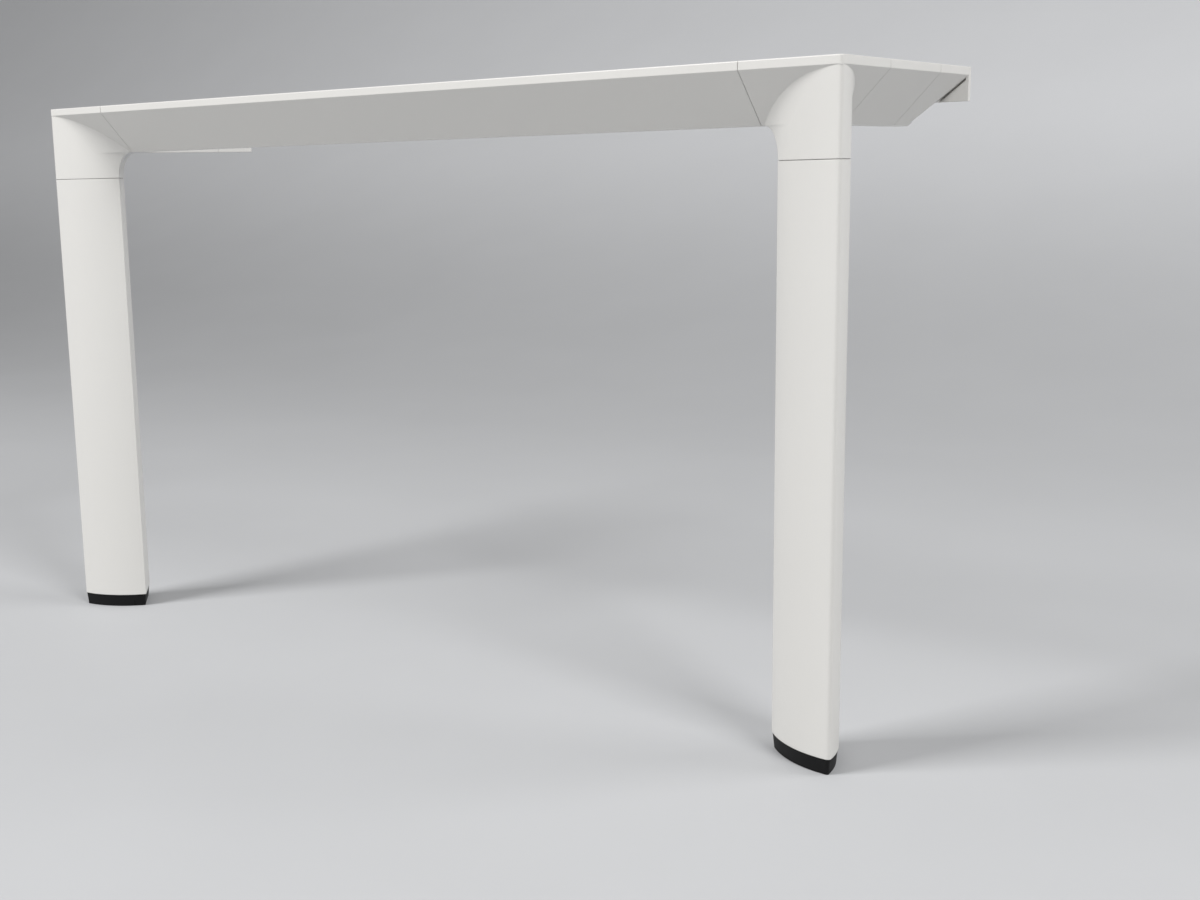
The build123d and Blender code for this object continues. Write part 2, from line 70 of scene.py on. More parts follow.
log = logging.getLogger("table_frame")

BODY = "root"

MERGE_DISTANCE = 1e-6
SOCKET_SIDES = 6
EDGE_SAMPLES = 6
NOISE_MIDDLE = 0.5

# Places of a Mix node's colour sockets: its share, its two colours and its result.
MIX_SHARE = 0
MIX_FIRST = 6
MIX_SECOND = 7
MIX_RESULT = 2

Colour = Tuple[float, float, float]
Point = Tuple[float, float, float]
Outline = List[Tuple[float, float]]
Element = Union[bmesh.types.BMVert, bmesh.types.BMEdge, bmesh.types.BMFace]


class Hand(Enum):
    """Which end of the frame a piece belongs to. The value is the sign of its X."""

    LEFT = -1
    RIGHT = 1

    def node(self, name: str) -> str:
        """Name of this hand's copy of a piece."""
        return f"{self.name.lower()}_{name}"


class Signal:
    """One value in a graph. Arithmetic on it adds Math nodes to the graph."""

    def __init__(self, graph: "Graph", socket: bpy.types.NodeSocket) -> None:
        """Wraps a socket of a graph."""
        self.graph = graph
        self.socket = socket

    def math(self, operation: str, *others: "Value") -> "Signal":
        """Adds one Math node.

        Args:
            operation: the node's operation.
            others: the values that follow this one on its sockets.

        Returns:
            The node's result.
        """
        inputs = dict(enumerate((self, *others)))
        node = self.graph.node("ShaderNodeMath", {"operation": operation}, inputs)
        return Signal(self.graph, node.outputs[0])

    def reflected(self, operation: str, other: float) -> "Signal":
        """Adds one Math node with a number before this value.

        Args:
            operation: the node's operation.
            other: the number on the first socket.

        Returns:
            The node's result.
        """
        node = self.graph.node("ShaderNodeMath", {"operation": operation}, {0: other, 1: self})
        return Signal(self.graph, node.outputs[0])

    def __add__(self, other: "Value") -> "Signal":
        """Sum."""
        return self.math("ADD", other)

    __radd__ = __add__

    def __sub__(self, other: "Value") -> "Signal":
        """Difference."""
        return self.math("SUBTRACT", other)

    def __rsub__(self, other: float) -> "Signal":
        """Difference from a number."""
        return self.reflected("SUBTRACT", other)

    def __mul__(self, other: "Value") -> "Signal":
        """Product."""
        return self.math("MULTIPLY", other)

    __rmul__ = __mul__

    def __abs__(self) -> "Signal":
        """Size without its sign."""
        return self.math("ABSOLUTE")

    def least(self, other: "Value") -> "Signal":
        """The smaller of two values."""
        return self.math("MINIMUM", other)

    def most(self, other: "Value") -> "Signal":
        """The larger of two values."""
        return self.math("MAXIMUM", other)

    def root(self) -> "Signal":
        """Square root."""
        return self.math("SQRT")

    def sine(self) -> "Signal":
        """Sine of an angle in radians."""
        return self.math("SINE")

    def swing(self) -> "Signal":
        """How far a noise is from its middle."""
        return self - NOISE_MIDDLE

    def rise(self, low: float, high: float) -> "Signal":
        """Smooth step.

        Args:
            low: where the step is still 0.
            high: where it has reached 1.

        Returns:
            A value from 0 to 1.
        """
        settings = {"interpolation_type": "SMOOTHSTEP"}
        inputs = {"Value": self, "From Min": low, "From Max": high}
        node = self.graph.node("ShaderNodeMapRange", settings, inputs)
        return Signal(self.graph, node.outputs["Result"])


Value = Union[Signal, float, Sequence[float]]


class Graph:
    """Node graph of one material, or of the light all round."""

    def __init__(self, owner: Union[bpy.types.Material, bpy.types.World]) -> None:
        """Starts with no nodes.

        Args:
            owner: the material or the surrounding light that the graph is in.
        """
        owner.use_nodes = True
        self.owner = owner
        self.tree = owner.node_tree
        self.tree.nodes.clear()

    def node(
        self,
        kind: str,
        settings: Optional[Mapping[str, object]] = None,
        inputs: Optional[Mapping[Union[str, int], Value]] = None,
    ) -> bpy.types.Node:
        """Adds a node.

        Args:
            kind: the node's type.
            settings: its properties, set first.
            inputs: a value or a link for each named or numbered socket.

        Returns:
            The new node.
        """
        node = self.tree.nodes.new(kind)
        for name, value in (settings or {}).items():
            setattr(node, name, value)
        for key, value in (inputs or {}).items():
            if isinstance(value, Signal):
                self.tree.links.new(value.socket, node.inputs[key])
            else:
                node.inputs[key].default_value = value
        return node

    def place(self) -> Signal:
        """Place on the piece, in its own coordinates."""
        return Signal(self, self.node("ShaderNodeTexCoord").outputs["Object"])

    def axes(self, place: Signal) -> Tuple[Signal, Signal, Signal]:
        """Splits a place into X, Y and Z."""
        node = self.node("ShaderNodeSeparateXYZ", inputs={"Vector": place})
        return tuple(Signal(self, socket) for socket in node.outputs)

    def reaches(self, place: Signal) -> Tuple[Signal, Signal, Signal]:
        """Splits a place into its distances from the frame's nearer end, its front and the floor."""
        x, y, z = self.axes(place)
        return CAD_HIGH.x - abs(x), y - CAD_LOW.y, z

    def noise(self, place: Signal, size: float, layers: float = 2.0) -> Signal:
        """Adds a noise.

        Args:
            place: where it is read.
            size: the size of its features.
            layers: how many finer layers it has.

        Returns:
            A value about the middle of the noise.
        """
        inputs = {"Vector": place, "Scale": 1 / size, "Detail": layers}
        return Signal(self, self.node("ShaderNodeTexNoise", inputs=inputs).outputs["Fac"])

    def vector(self, operation: str, *values: Value, output: str = "Vector") -> Signal:
        """Adds one Vector Math node.

        Args:
            operation: the node's operation.
            values: the values on its sockets.
            output: the socket that holds its result.

        Returns:
            The node's result.
        """
        node = self.node("ShaderNodeVectorMath", {"operation": operation}, dict(enumerate(values)))
        return Signal(self, node.outputs[output])

    def shade(self, colour: Colour, tone: Signal) -> Signal:
        """Makes a colour lighter or darker.

        Args:
            colour: the colour at a tone of 1.
            tone: the factor on it.

        Returns:
            The shaded colour.
        """
        settings = {"data_type": "RGBA", "blend_type": "MULTIPLY"}
        inputs = {MIX_SHARE: 1.0, MIX_FIRST: (*colour, 1.0), MIX_SECOND: tone}
        return Signal(self, self.node("ShaderNodeMix", settings, inputs).outputs[MIX_RESULT])

    def blend_colour(self, share: Signal, first: Signal, second: Signal) -> Signal:
        """Mixes two colours.

        Args:
            share: how much of the second there is.
            first: the colour at 0.
            second: the colour at 1.

        Returns:
            The mixed colour.
        """
        inputs = {MIX_SHARE: share, MIX_FIRST: first, MIX_SECOND: second}
        return Signal(self, self.node("ShaderNodeMix", {"data_type": "RGBA"}, inputs).outputs[MIX_RESULT])

    def close(self, surface: "Surface", edge_radius: float, **constants: float) -> bpy.types.Material:
        """Ends the graph in one shader.

        Args:
            surface: what varies over the piece.
            edge_radius: how far sharp edges are rounded in the shading.
            constants: values of the shader's other sockets, with underscores for spaces.

        Returns:
            The finished material.
        """
        rounded = self.node("ShaderNodeBevel", {"samples": EDGE_SAMPLES}, {"Radius": edge_radius})
        relief = self.node("ShaderNodeBump", inputs={
            "Distance": surface.relief_depth,
            "Height": surface.relief,
            "Normal": Signal(self, rounded.outputs["Normal"]),
        })
        inputs = {
            "Base Color": surface.colour,
            "Roughness": surface.roughness,
            "Metallic": surface.metallic,
            "Normal": Signal(self, relief.outputs["Normal"]),
        }
        inputs.update({name.replace("_", " "): value for name, value in constants.items()})
        shader = self.node("ShaderNodeBsdfPrincipled", inputs=inputs)
        self.node("ShaderNodeOutputMaterial", inputs={"Surface": Signal(self, shader.outputs["BSDF"])})
        return self.owner


@dataclass
class Surface:
    """What a finish gives to the shader."""

    colour: Signal
    roughness: Signal
    metallic: Union[Signal, float]
    relief: Signal
    relief_depth: float


@dataclass(frozen=True)
class PowderCoat:
    """Satin powder coat: a fine grain on a soft orange peel, with a faint drift of tone."""

    name: str = "powder_coat"
    colour: Colour = (0.735, 0.723, 0.694)
    roughness: float = 0.38
    grain_size: float = 0.0009
    peel_size: float = 0.0045
    peel_layers: float = 1.0
    cloud_size: float = 0.16
    grain_tone: float = 0.035
    cloud_tone: float = 0.03
    gloss_drift: float = 0.10
    grain_share: float = 0.5
    relief_depth: float = 0.00006
    edge_radius: float = 0.0013

    def surface(self, graph: Graph) -> Surface:
        """Lays the coat.

        Args:
            graph: the graph that it is laid in.

        Returns:
            What the coat gives to the shader.
        """
        place = graph.place()
        grain = graph.noise(place, self.grain_size)
        peel = graph.noise(place, self.peel_size, self.peel_layers)
        cloud = graph.noise(place, self.cloud_size)
        tone = 1.0 + grain.swing() * self.grain_tone + cloud.swing() * self.cloud_tone
        roughness = self.roughness + cloud.swing() * self.gloss_drift + grain.swing() * self.gloss_drift
        relief = grain * self.grain_share + peel * (1.0 - self.grain_share)
        return Surface(graph.shade(self.colour, tone), roughness, 0.0, relief, self.relief_depth)

    def material(self) -> bpy.types.Material:
        """Makes the coat's material."""
        graph = Graph(bpy.data.materials.new(self.name))
        return graph.close(self.surface(graph), self.edge_radius)


@dataclass(frozen=True)
class CastMetal:
    """Bare cast aluminium: a fine sandy grain, soft patches and a few small darker pores."""

    colour: Colour = (0.67, 0.67, 0.675)
    roughness: float = 0.52
    grain_size: float = 0.0009
    grain_layers: float = 3.0
    patch_size: float = 0.014
    pore_size: float = 0.0013
    pore_layers: float = 0.0
    pore_start: float = 0.77
    pore_full: float = 0.85
    grain_tone: float = 0.16
    patch_tone: float = 0.30
    pore_tone: float = 0.22
    gloss_drift: float = 0.2
    pore_roughness: float = 0.15
    pore_relief: float = 0.8
    relief_depth: float = 0.00010

    def surface(self, graph: Graph) -> Surface:
        """Lays the metal.

        Args:
            graph: the graph that it is laid in.

        Returns:
            What the metal gives to the shader.
        """
        place = graph.place()
        grain = graph.noise(place, self.grain_size, self.grain_layers)
        patch = graph.noise(place, self.patch_size)
        pores = graph.noise(place, self.pore_size, self.pore_layers).rise(self.pore_start, self.pore_full)
        tone = 1.0 + grain.swing() * self.grain_tone + patch.swing() * self.patch_tone
        tone = tone - pores * self.pore_tone
        roughness = self.roughness + grain.swing() * self.gloss_drift + patch.swing() * self.gloss_drift
        roughness = roughness + pores * self.pore_roughness
        relief = grain - pores * self.pore_relief
        return Surface(graph.shade(self.colour, tone), roughness, 1.0, relief, self.relief_depth)


@dataclass(frozen=True)
class PocketedCoat:
    """Finish of a corner casting: coated outside, bare metal inside its open pocket and screw wells.

    The bare part is worked out from the pocket's sizes, as distances from the frame's ends and its top.
    """

    coat: PowderCoat = PowderCoat()
    bare: CastMetal = CastMetal()
    name: str = "coated_casting"
    rim: float = 0.0126
    lip: float = 0.009
    slope_run: float = 0.051
    slope_drop: float = 0.053
    half_wall: float = 0.0036
    seam: float = 0.108
    diagonal: float = 0.186
    bare_drop: float = 0.0007
    well_along: float = 0.058
    well_in: float = 0.040
    well_radius: float = 0.0098
    well_drop: float = 0.0605
    edge: float = 0.0002

    def bare_share(self, graph: Graph) -> Signal:
        """Finds where the casting is bare.

        Args:
            graph: the casting's graph.

        Returns:
            A share from 0, coated, to 1, bare.
        """
        along, inward, height = graph.reaches(graph.place())
        drop = CAD_HIGH.z - height
        nearest = along.least(inward)
        sloped = nearest - (drop - self.lip) * (self.slope_run / self.slope_drop)
        spare = nearest.least(sloped + (self.rim - self.half_wall)) - self.rim
        spare = spare.least(drop - self.bare_drop)
        spare = spare.least(self.seam - along.most(inward))
        spare = spare.least(self.diagonal - (along + inward))
        wells = self.well_room(along, inward).most(self.well_room(inward, along))
        return spare.most(wells.least(self.well_drop - drop)).rise(-self.edge, self.edge)

    def well_room(self, first: Signal, second: Signal) -> Signal:
        """How far inside a screw well a place is.

        Args:
            first: distance from the end that the well is further from.
            second: distance from the other end.

        Returns:
            The well's radius less the distance from its axis.
        """
        across = first - self.well_along
        back = second - self.well_in
        return self.well_radius - (across * across + back * back).root()

    def material(self) -> bpy.types.Material:
        """Makes the casting's material.

        Returns:
            The coat and the bare metal in one material.
        """
        graph = Graph(bpy.data.materials.new(self.name))
        coat = self.coat.surface(graph)
        bare = self.bare.surface(graph)
        share = self.bare_share(graph)
        depth = bare.relief_depth / coat.relief_depth
        mixed = Surface(
            colour=graph.blend_colour(share, coat.colour, bare.colour),
            roughness=coat.roughness + (bare.roughness - coat.roughness) * share,
            metallic=share,
            relief=coat.relief + (bare.relief * depth - coat.relief) * share,
            relief_depth=coat.relief_depth,
        )
        return graph.close(mixed, self.coat.edge_radius)


@dataclass(frozen=True)
class TurnedSteel:
    """Plated steel with the fine rings of turning about one axis, outside a bore or socket."""

    name: str
    centre: Vector
    axis: Vector
    bore: float = 0.0
    colour: Colour = (0.64, 0.635, 0.62)
    roughness: float = 0.27
    ring_pitch: float = 0.00045
    stain_size: float = 0.004
    stain_layers: float = 3.0
    ring_tone: float = 0.05
    stain_tone: float = 0.16
    ring_roughness: float = 0.03
    stain_roughness: float = 0.16
    relief_depth: float = 0.000008
    edge_radius: float = 0.0003

    def material(self) -> bpy.types.Material:
        """Makes the steel's material.

        Returns:
            A material for one screw or washer.
        """
        graph = Graph(bpy.data.materials.new(self.name))
        place = graph.place()
        across = Vector((1, 1, 1)) - Vector([abs(part) for part in self.axis])
        arm = graph.vector("MULTIPLY", graph.vector("SUBTRACT", place, self.centre), across)
        radius = graph.vector("LENGTH", arm, output="Value")
        rings = (radius * (2 * math.pi / self.ring_pitch)).sine()
        rings = rings * radius.rise(self.bore, self.bore + self.ring_pitch)
        stain = graph.noise(place, self.stain_size, self.stain_layers)
        tone = 1.0 + rings * self.ring_tone + stain.swing() * self.stain_tone
        roughness = self.roughness + stain.swing() * self.stain_roughness + rings * self.ring_roughness
        surface = Surface(graph.shade(self.colour, tone), roughness, 1.0, rings, self.relief_depth)
        return graph.close(surface, self.edge_radius)


@dataclass(frozen=True)
class MouldedPlastic:
    """Black moulded plastic: a spark-eroded grain, a parting mark on each side, scuffed at the floor."""

    name: str = "foot_plastic"
    colour: Colour = (0.008, 0.008, 0.0084)
    roughness: float = 0.55
    gloss: float = 0.15
    grain_size: float = 0.0006
    grain_tone: float = 0.5
    grain_roughness: float = 0.12
    scuff_size: float = 0.0022
    scuff_layers: float = 3.0
    scuff_start: float = 0.5
    scuff_full: float = 0.7
    scuff_height: float = 0.0022
    scuff_tone: float = 2.2
    scuff_roughness: float = 0.2
    mark_in: float = 0.074
    mark_half_width: float = 0.0006
    mark_fade: float = 0.0072
    mark_height: float = 0.008
    mark_tone: float = 0.8
    mark_relief: float = 4.0
    relief_depth: float = 0.00003
    edge_radius: float = 0.0008

    def material(self) -> bpy.types.Material:
        """Makes the plastic's material.

        Returns:
            The material of both foot caps.
        """
        graph = Graph(bpy.data.materials.new(self.name))
        place = graph.place()
        along, inward, height = graph.reaches(place)
        grain = graph.noise(place, self.grain_size)
        scuff = graph.noise(place, self.scuff_size, self.scuff_layers)
        scuff = scuff.rise(self.scuff_start, self.scuff_full) * (1.0 - height.rise(0.0, self.scuff_height))
        off_mark = abs(along.most(inward) - self.mark_in)
        mark = 1.0 - off_mark.rise(self.mark_half_width / 2, self.mark_half_width)
        mark = mark * (1.0 - height.rise(self.mark_fade, self.mark_height))
        tone = 1.0 + grain.swing() * self.grain_tone + scuff * self.scuff_tone
        tone = tone * (1.0 - mark * self.mark_tone)
        roughness = self.roughness + grain.swing() * self.grain_roughness + scuff * self.scuff_roughness
        relief = grain - mark * self.mark_relief
        surface = Surface(graph.shade(self.colour, tone), roughness, 0.0, relief, self.relief_depth)
        return graph.close(surface, self.edge_radius, Specular_IOR_Level=self.gloss)


@dataclass(frozen=True)
class StudioPaper:
    """Pale grey paper of the floor and backdrop, with a faint cloudy drift, and painted light that makes
    it paler up the backdrop.
    """

    name: str = "studio_paper"
    colour: Colour = (0.49, 0.495, 0.505)
    roughness: float = 0.7
    cloud_size: float = 0.35
    cloud_layers: float = 4.0
    cloud_tone: float = 0.07
    gloss_drift: float = 0.1
    # Painted light: how much paler the paper is painted at the top of the backdrop's bend.
    painted_wall_light: float = 0.70
    wall_height: float = 0.9
    grain_size: float = 0.01
    relief_depth: float = 0.0001
    edge_radius: float = 0.001

    def material(self) -> bpy.types.Material:
        """Makes the paper's material.

        Returns:
            The material of the whole sheet.
        """
        graph = Graph(bpy.data.materials.new(self.name))
        place = graph.place()
        cloud = graph.noise(place, self.cloud_size, self.cloud_layers)
        grain = graph.noise(place, self.grain_size)
        _, _, height = graph.axes(place)
        # Painted light: the paper's colour is made paler with height, in place of light falling on the
        # backdrop.
        tone = 1.0 + cloud.swing() * self.cloud_tone + height.rise(0.0, self.wall_height) * self.painted_wall_light
        roughness = self.roughness + cloud.swing() * self.gloss_drift
        surface = Surface(graph.shade(self.colour, tone), roughness, 0.0, grain, self.relief_depth)
        return graph.close(surface, self.edge_radius)


@dataclass(frozen=True)
class Finishes:
    """Materials that several pieces share."""

    coat: bpy.types.Material
    casting: bpy.types.Material
    plastic: bpy.types.Material


def dress(node: str, material: bpy.types.Material) -> None:
    """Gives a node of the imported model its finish.

    Args:
        node: the node's name.
        material: the finish.
    """
    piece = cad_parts[node]
    piece.data.materials.clear()
    piece.data.materials.append(material)
    log.info("%s: %s", node, material.name)


def middle(node: str) -> Vector:
    """Middle of a node's box."""
    low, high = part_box(node)
    return (low + high) / 2


def seat_of(node: str, direction: Vector, head_height: float) -> Vector:
    """Where the head of a node's single screw sits.

    Args:
        node: the screw's node.
        direction: the way its shank points, along one axis.
        head_height: height of its head.

    Returns:
        A point on the screw's axis.
    """
    low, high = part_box(node)
    reach = abs((high - low).dot(direction)) / 2
    return middle(node) - direction * (reach - head_height)


def far_side(extruded: Sequence[Element]) -> Tuple[List[bmesh.types.BMVert], List[bmesh.types.BMEdge]]:
    """Picks the moved side out of an extrusion's result.

    Args:
        extruded: what the extrusion made.

    Returns:
        The new corners, and the edges that join two of them.
    """
    corners = [item for item in extruded if isinstance(item, bmesh.types.BMVert)]
    edges = [item for item in extruded if isinstance(item, bmesh.types.BMEdge)]
    return corners, [edge for edge in edges if all(end in corners for end in edge.verts)]


@dataclass
class Screw:
    """A screw in its own axes: it points along +Z, and its head's seat or face is at 0."""

    length: float
    size: float
    socket: float
    socket_depth: float
    pitch: float
    thread_length: float
    thread_depth: float = 0.0007
    mouth: float = 0.0003
    drill_share: float = 0.25
    steps: int = 40
    sharp_angle: float = math.radians(32)

    def head(self) -> Outline:
        """Outline of the head, from the rim of its socket to the shank."""
        raise NotImplementedError

    def face(self) -> float:
        """Height of the face that the socket is in."""
        raise NotImplementedError

    def corner_radius(self) -> float:
        """Radius of the socket at its corners."""
        return self.socket / 2 / math.cos(math.pi / SOCKET_SIDES)

    def shank(self) -> Outline:
        """Draws the shank: plain, then threaded, then a blunt tip.

        Returns:
            Its outline from the head to the tip.
        """
        radius = self.size / 2
        valley = radius - self.thread_depth
        height = self.length - self.thread_length
        outline = [(radius, height)]
        while height + self.pitch < self.length - self.thread_depth:
            outline += [(valley, height + self.pitch / 2), (radius, height + self.pitch)]
            height += self.pitch
        return outline + [(valley, self.length), (0.0, self.length)]

    def build(self, place: Matrix) -> bmesh.types.BMesh:
        """Models the screw.

        Args:
            place: where it stands.

        Returns:
            A closed mesh.
        """
        shape = bmesh.new()
        corners = [shape.verts.new((radius, 0.0, height)) for radius, height in self.head() + self.shank()]
        line = [shape.edges.new(pair) for pair in zip(corners, corners[1:])]
        mouth_radius = corners[0].co.x
        bmesh.ops.spin(
            shape, geom=corners + line, cent=(0, 0, 0), axis=(0, 0, 1), angle=2 * math.pi,
            steps=self.steps, use_merge=True,
        )
        bmesh.ops.remove_doubles(shape, verts=shape.verts, dist=MERGE_DISTANCE)
        self.sink_socket(shape, mouth_radius)
        bmesh.ops.recalc_face_normals(shape, faces=shape.faces)
        bmesh.ops.transform(shape, matrix=place, verts=shape.verts)
        return shape

    def sink_socket(self, shape: bmesh.types.BMesh, mouth_radius: float) -> None:
        """Sinks the hexagon socket, with a coned mouth and a drilled point.

        Args:
            shape: the screw, open at the socket's mouth.
            mouth_radius: radius of that opening.
        """
        rim = [edge for edge in shape.edges if edge.is_boundary]
        level = Matrix.Translation((0, 0, self.face() + self.mouth))
        hexagon = bmesh.ops.create_circle(
            shape, segments=SOCKET_SIDES, radius=self.corner_radius(), matrix=level,
        )["verts"]
        sides = list(dict.fromkeys(edge for corner in hexagon for edge in corner.link_edges))
        bmesh.ops.bridge_loops(shape, edges=rim + sides)
        floor, floor_edges = far_side(bmesh.ops.extrude_edge_only(shape, edges=sides)["geom"])
        bmesh.ops.translate(shape, verts=floor, vec=(0, 0, self.socket_depth - self.mouth))
        bottom = bmesh.ops.contextual_create(shape, geom=floor_edges)["faces"]
        bmesh.ops.poke(shape, faces=bottom, offset=-mouth_radius * self.drill_share)


@dataclass
class SocketScrew(Screw):
    """Screw with a plain round head that stands on its seat."""

    head_size: float = 0.016
    head_height: float = 0.010
    head_edge: float = 0.0012
    edge_steps: int = 4

    def face(self) -> float:
        """Height of the head's top face."""
        return -self.head_height

    def head(self) -> Outline:
        """Draws the round head, with a rounded top edge and a small chamfer below.

        Returns:
            Its outline from the socket's mouth to the shank.
        """
        radius = self.head_size / 2
        inner = radius - self.head_edge
        shoulder = self.head_edge - self.head_height
        turns = [math.pi / 2 * step / self.edge_steps for step in range(self.edge_steps + 1)]
        rounded = [
            (inner + self.head_edge * math.sin(turn), shoulder - self.head_edge * math.cos(turn))
            for turn in turns
        ]
        mouth = self.corner_radius() + self.mouth
        foot = [(radius, -self.mouth), (radius - self.mouth, 0.0), (self.size / 2, 0.0)]
        return [(mouth, -self.head_height)] + rounded + foot


@dataclass
class CountersunkScrew(Screw):
    """Screw with a coned head that lies flush."""

    head_size: float = 0.010
    land: float = 0.0003

    def face(self) -> float:
        """Height of the head's face."""
        return 0.0

    def head(self) -> Outline:
        """Draws the coned head, with a thin land at its edge.

        Returns:
            Its outline from the socket's mouth to the shank.
        """
        mouth = self.corner_radius() + self.mouth
        cone = (self.head_size - self.size) / 2
        return [(mouth, 0.0), (self.head_size / 2 - self.land, 0.0), (self.size / 2, cone - self.land)]


@dataclass
class Fastening:
    """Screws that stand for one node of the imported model.

    The seats are where each screw's head sits, and the direction is the way its shank points.
    """

    node: str
    screw: Screw
    seats: List[Vector]
    direction: Vector

    def make(self) -> None:
        """Models the screws, finishes them and puts them in the node's place."""
        mesh = bpy.data.meshes.new(f"{self.node}_detail")
        joined = bmesh.new()
        turn = self.direction.to_track_quat("Z", "Y").to_matrix().to_4x4()
        for index, seat in enumerate(self.seats):
            single = self.screw.build(Matrix.Translation(seat) @ turn)
            for face in single.faces:
                face.material_index = index
                face.smooth = True
            part = bpy.data.meshes.new("screw")
            single.to_mesh(part)
            single.free()
            joined.from_mesh(part)
            bpy.data.meshes.remove(part)
            name = f"{self.node}_steel_{index}"
            steel = TurnedSteel(name, seat, self.direction, self.screw.corner_radius())
            mesh.materials.append(steel.material())
        joined.to_mesh(mesh)
        joined.free()
        mesh.set_sharp_from_angle(angle=self.screw.sharp_angle)
        piece = bpy.data.objects.new(f"{self.node}_detail", mesh)
        bpy.context.scene.collection.objects.link(piece)
        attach(piece, BODY)
        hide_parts(self.node)
        log.info("%s: %d screws, %d faces", self.node, len(self.seats), len(mesh.polygons))


@dataclass
class FrontRail:
    """The long rail between the two corners."""

    node: str = "front_rail"

    def build(self, finishes: Finishes) -> None:
        """Coats the rail."""
        dress(self.node, finishes.coat)


@dataclass
class Corner:
    """A corner casting with its leg, its foot cap and the screws in its pocket."""

    hand: Hand
    screw_size: float = 0.010
    screw_pitch: float = 0.0015
    socket: float = 0.008
    socket_depth: float = 0.005
    thread_length: float = 0.022
    head_size: float = 0.016
    head_height: float = 0.010

    def finish(self, finishes: Finishes) -> None:
        """Finishes the casting, the leg and the foot cap.

        Args:
            finishes: the materials.
        """
        dress(self.hand.node("corner_casting"), finishes.casting)
        dress(self.hand.node("leg"), finishes.coat)
        dress(self.hand.node("foot"), finishes.plastic)

    def screw(self, length: float) -> SocketScrew:
        """Makes one of the corner's socket screws.

        Args:
            length: the length of its shank.

        Returns:
            The screw's sizes.
        """
        return SocketScrew(
            length=length, size=self.screw_size, socket=self.socket, socket_depth=self.socket_depth,
            pitch=self.screw_pitch, thread_length=self.thread_length, head_size=self.head_size,
            head_height=self.head_height,
        )

    def fasten_rail(self, name: str, direction: Vector) -> None:
        """Fits a rail screw and finishes its washer.

        Args:
            name: the rail's name.
            direction: from the corner along the rail.
        """
        node = self.hand.node(f"{name}_screw")
        washer = self.hand.node(f"{name}_washer")
        low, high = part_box(node)
        length = abs((high - low).dot(direction)) - self.head_height
        seat = seat_of(node, direction, self.head_height)
        Fastening(node, self.screw(length), [seat], direction).make()
        dress(washer, TurnedSteel(f"{washer}_steel", middle(washer), direction).material())

    def fasten_leg(self) -> None:
        """Fits the two screws that hold the leg, on both sides of the corner's diagonal."""
        node = self.hand.node("leg_screws")
        low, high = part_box(node)
        radius = self.head_size / 2
        outer, inner = (low.x, high.x) if self.hand is Hand.LEFT else (high.x, low.x)
        level = high.z - self.head_height
        seats = [
            Vector((inner + self.hand.value * radius, low.y + radius, level)),
            Vector((outer - self.hand.value * radius, high.y - radius, level)),
        ]
        length = high.z - low.z - self.head_height
        Fastening(node, self.screw(length), seats, Vector((0, 0, -1))).make()

    def build(self, finishes: Finishes) -> None:
        """Finishes and fastens the whole corner.

        Args:
            finishes: the materials.
        """
        self.finish(finishes)
        self.fasten_rail("front_rail", Vector((-self.hand.value, 0, 0)))
        self.fasten_rail("side_rail", Vector((0, 1, 0)))
        self.fasten_leg()


@dataclass
class ReturnRail:
    """A side rail with its end piece and docking plate."""

    hand: Hand
    plate_screw_size: float = 0.005
    plate_screw_pitch: float = 0.0008
    plate_screw_head: float = 0.010
    plate_socket: float = 0.003
    plate_socket_depth: float = 0.0016
    plate_socket_mouth: float = 0.00015
    plate_thread_share: float = 0.8
    plate_thread_depth: float = 0.0004

    def finish(self, coat: bpy.types.Material) -> None:
        """Coats the rail, its end and its plate."""
        for name in ("side_rail", "end_piece", "docking_plate"):
            dress(self.hand.node(name), coat)

    def fasten_plate(self) -> None:
        """Fits the two countersunk screws of the docking plate."""
        node = self.hand.node("plate_screws")
        low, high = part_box(node)
        radius = self.plate_screw_head / 2
        level = (low.z + high.z) / 2
        length = high.y - low.y
        screw = CountersunkScrew(
            length=length, size=self.plate_screw_size, socket=self.plate_socket,
            socket_depth=self.plate_socket_depth, pitch=self.plate_screw_pitch,
            thread_length=length * self.plate_thread_share, thread_depth=self.plate_thread_depth,
            mouth=self.plate_socket_mouth, head_size=self.plate_screw_head,
        )
        seats = [Vector((x, high.y, level)) for x in (low.x + radius, high.x - radius)]
        Fastening(node, screw, seats, Vector((0, -1, 0))).make()

    def build(self, finishes: Finishes, corner: Corner) -> None:
        """Finishes and fastens the whole return.

        Args:
            finishes: the materials.
            corner: the corner on this side, whose screws the return's end takes too.
        """
        self.finish(finishes.coat)
        corner.fasten_rail("end_piece", Vector((0, -1, 0)))
        self.fasten_plate()


@dataclass(frozen=True)
class SoftBox:
    """A square soft lamp that faces a point."""

    name: str
    place: Point
    width: float
    power: float
    target: Point = (0.0, 0.0, 0.35)

    def build(self) -> None:
        """Adds the lamp."""
        data = bpy.data.lights.new(self.name, "AREA")
        data.size = self.width
        data.energy = self.power
        lamp = bpy.data.objects.new(self.name, data)
        facing = Vector(self.target) - Vector(self.place)
        turned = facing.to_track_quat("-Z", "Y").to_matrix().to_4x4()
        lamp.matrix_world = Matrix.Translation(self.place) @ turned
        bpy.context.scene.collection.objects.link(lamp)
        log.info("lamp %s of %.0f W", self.name, self.power)


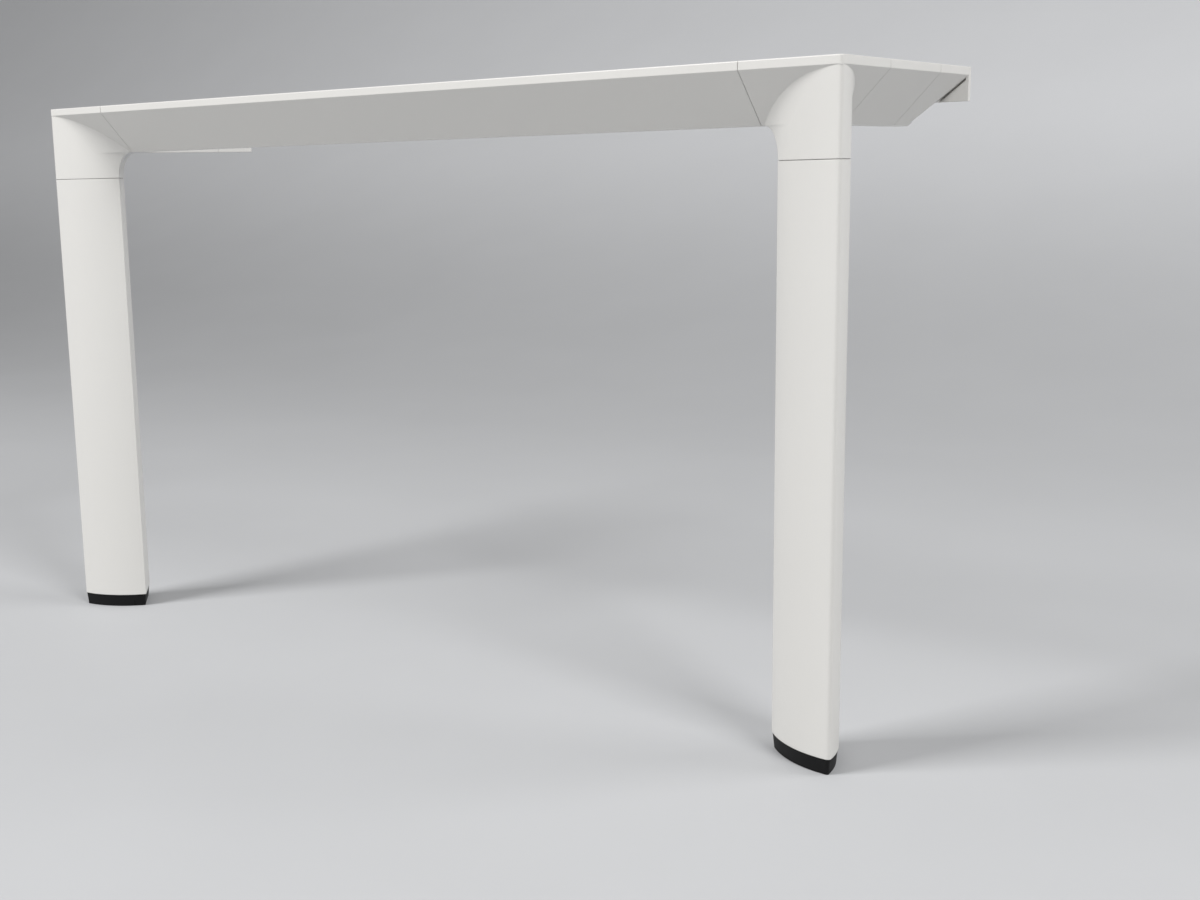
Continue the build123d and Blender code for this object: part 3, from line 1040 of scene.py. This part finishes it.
@dataclass
class Studio:
    """Floor, backdrop, lamps and surrounding light."""

    half_width: float = 40.0
    front: float = -30.0
    bend_start: float = 1.5
    bend_radius: float = 5.0
    bend_steps: int = 24
    floor_level: float = -0.0004
    surround: Colour = (1.0, 1.0, 1.0)
    surround_strength: float = 0.25
    distance_strength: float = 0.46
    lamps: Tuple[SoftBox, ...] = (
        SoftBox("key", place=(-2.0, -3.4, 4.3), width=1.8, power=242.0),
        SoftBox("fill", place=(3.4, -1.5, 3.6), width=1.4, power=100.0),
        SoftBox("rim", place=(3.3, 1.7, 3.8), width=2.0, power=60.0),
    )

    def sweep(self) -> None:
        """Makes the floor and backdrop as one bent sheet."""
        shape = bmesh.new()
        sides = (-self.half_width, self.half_width)
        edge = shape.edges.new([shape.verts.new((x, self.front, self.floor_level)) for x in sides])
        corners, line = far_side(bmesh.ops.extrude_edge_only(shape, edges=[edge])["geom"])
        bmesh.ops.translate(shape, verts=corners, vec=(0, self.bend_start - self.front, 0))
        bmesh.ops.spin(
            shape, geom=corners + line, cent=(0, self.bend_start, self.floor_level + self.bend_radius),
            axis=(1, 0, 0), angle=math.pi / 2, steps=self.bend_steps,
        )
        bmesh.ops.recalc_face_normals(shape, faces=shape.faces)
        mesh = bpy.data.meshes.new("studio_sweep")
        for face in shape.faces:
            face.smooth = True
        shape.to_mesh(mesh)
        shape.free()
        mesh.materials.append(StudioPaper().material())
        sheet = bpy.data.objects.new("studio_sweep", mesh)
        bpy.context.scene.collection.objects.link(sheet)

    def surroundings(self) -> None:
        """Lights the scene evenly from all round, and shows a pale distance past the backdrop's ends."""
        graph = Graph(bpy.data.worlds.new("studio_light"))
        rays = graph.node("ShaderNodeLightPath").outputs
        seen = Signal(graph, rays["Is Camera Ray"])
        for kind in ("Is Glossy Ray", "Is Transmission Ray"):
            seen = seen.most(Signal(graph, rays[kind]))
        strength = self.surround_strength + seen * (self.distance_strength - self.surround_strength)
        inputs = {"Color": (*self.surround, 1.0), "Strength": strength}
        background = graph.node("ShaderNodeBackground", inputs=inputs).outputs["Background"]
        graph.node("ShaderNodeOutputWorld", inputs={"Surface": Signal(graph, background)})
        bpy.context.scene.world = graph.owner

    def build(self) -> None:
        """Sets up the whole studio."""
        self.sweep()
        self.surroundings()
        for lamp in self.lamps:
            lamp.build()


@dataclass
class PhotoCamera:
    """Camera at the photograph's viewing angle, from a fit of the frame's corners, seams and feet."""

    place: Point = (1.251, -1.567, 0.618)
    turn: float = math.radians(38.03)
    dip: float = math.radians(10.81)
    roll: float = math.radians(-1.40)
    focal_pixels: float = 1551.0
    shift_pixels: Tuple[float, float] = (-120.0, 19.0)
    image_width: float = 1200.0
    sensor_width: float = 36.0

    def build(self) -> None:
        """Adds the camera and makes it the scene's own."""
        ahead = Vector((
            -math.sin(self.turn) * math.cos(self.dip),
            math.cos(self.turn) * math.cos(self.dip),
            -math.sin(self.dip),
        ))
        level = Vector((math.cos(self.turn), math.sin(self.turn), 0.0))
        upright = level.cross(ahead)
        right = level * math.cos(self.roll) + upright * math.sin(self.roll)
        up = upright * math.cos(self.roll) - level * math.sin(self.roll)
        data = bpy.data.cameras.new("photo_camera")
        data.sensor_fit = "HORIZONTAL"
        data.sensor_width = self.sensor_width
        data.lens = self.focal_pixels / self.image_width * self.sensor_width
        data.shift_x = -self.shift_pixels[0] / self.image_width
        data.shift_y = self.shift_pixels[1] / self.image_width
        camera = bpy.data.objects.new("photo_camera", data)
        turned = Matrix((right, up, -ahead)).transposed().to_4x4()
        camera.matrix_world = Matrix.Translation(self.place) @ turned
        bpy.context.scene.collection.objects.link(camera)
        bpy.context.scene.camera = camera


def main() -> None:
    """Builds the frame's looks in order: rails and corners, then the studio and the camera."""
    logging.basicConfig(level=logging.INFO, format="%(name)s: %(message)s")
    finishes = Finishes(
        coat=PowderCoat().material(),
        casting=PocketedCoat().material(),
        plastic=MouldedPlastic().material(),
    )
    FrontRail().build(finishes)
    for hand in Hand:
        corner = Corner(hand)
        corner.build(finishes)
        ReturnRail(hand).build(finishes, corner)
    Studio().build()
    PhotoCamera().build()
    bpy.context.scene.view_settings.view_transform = "Standard"


if __name__ == "__main__":
    main()
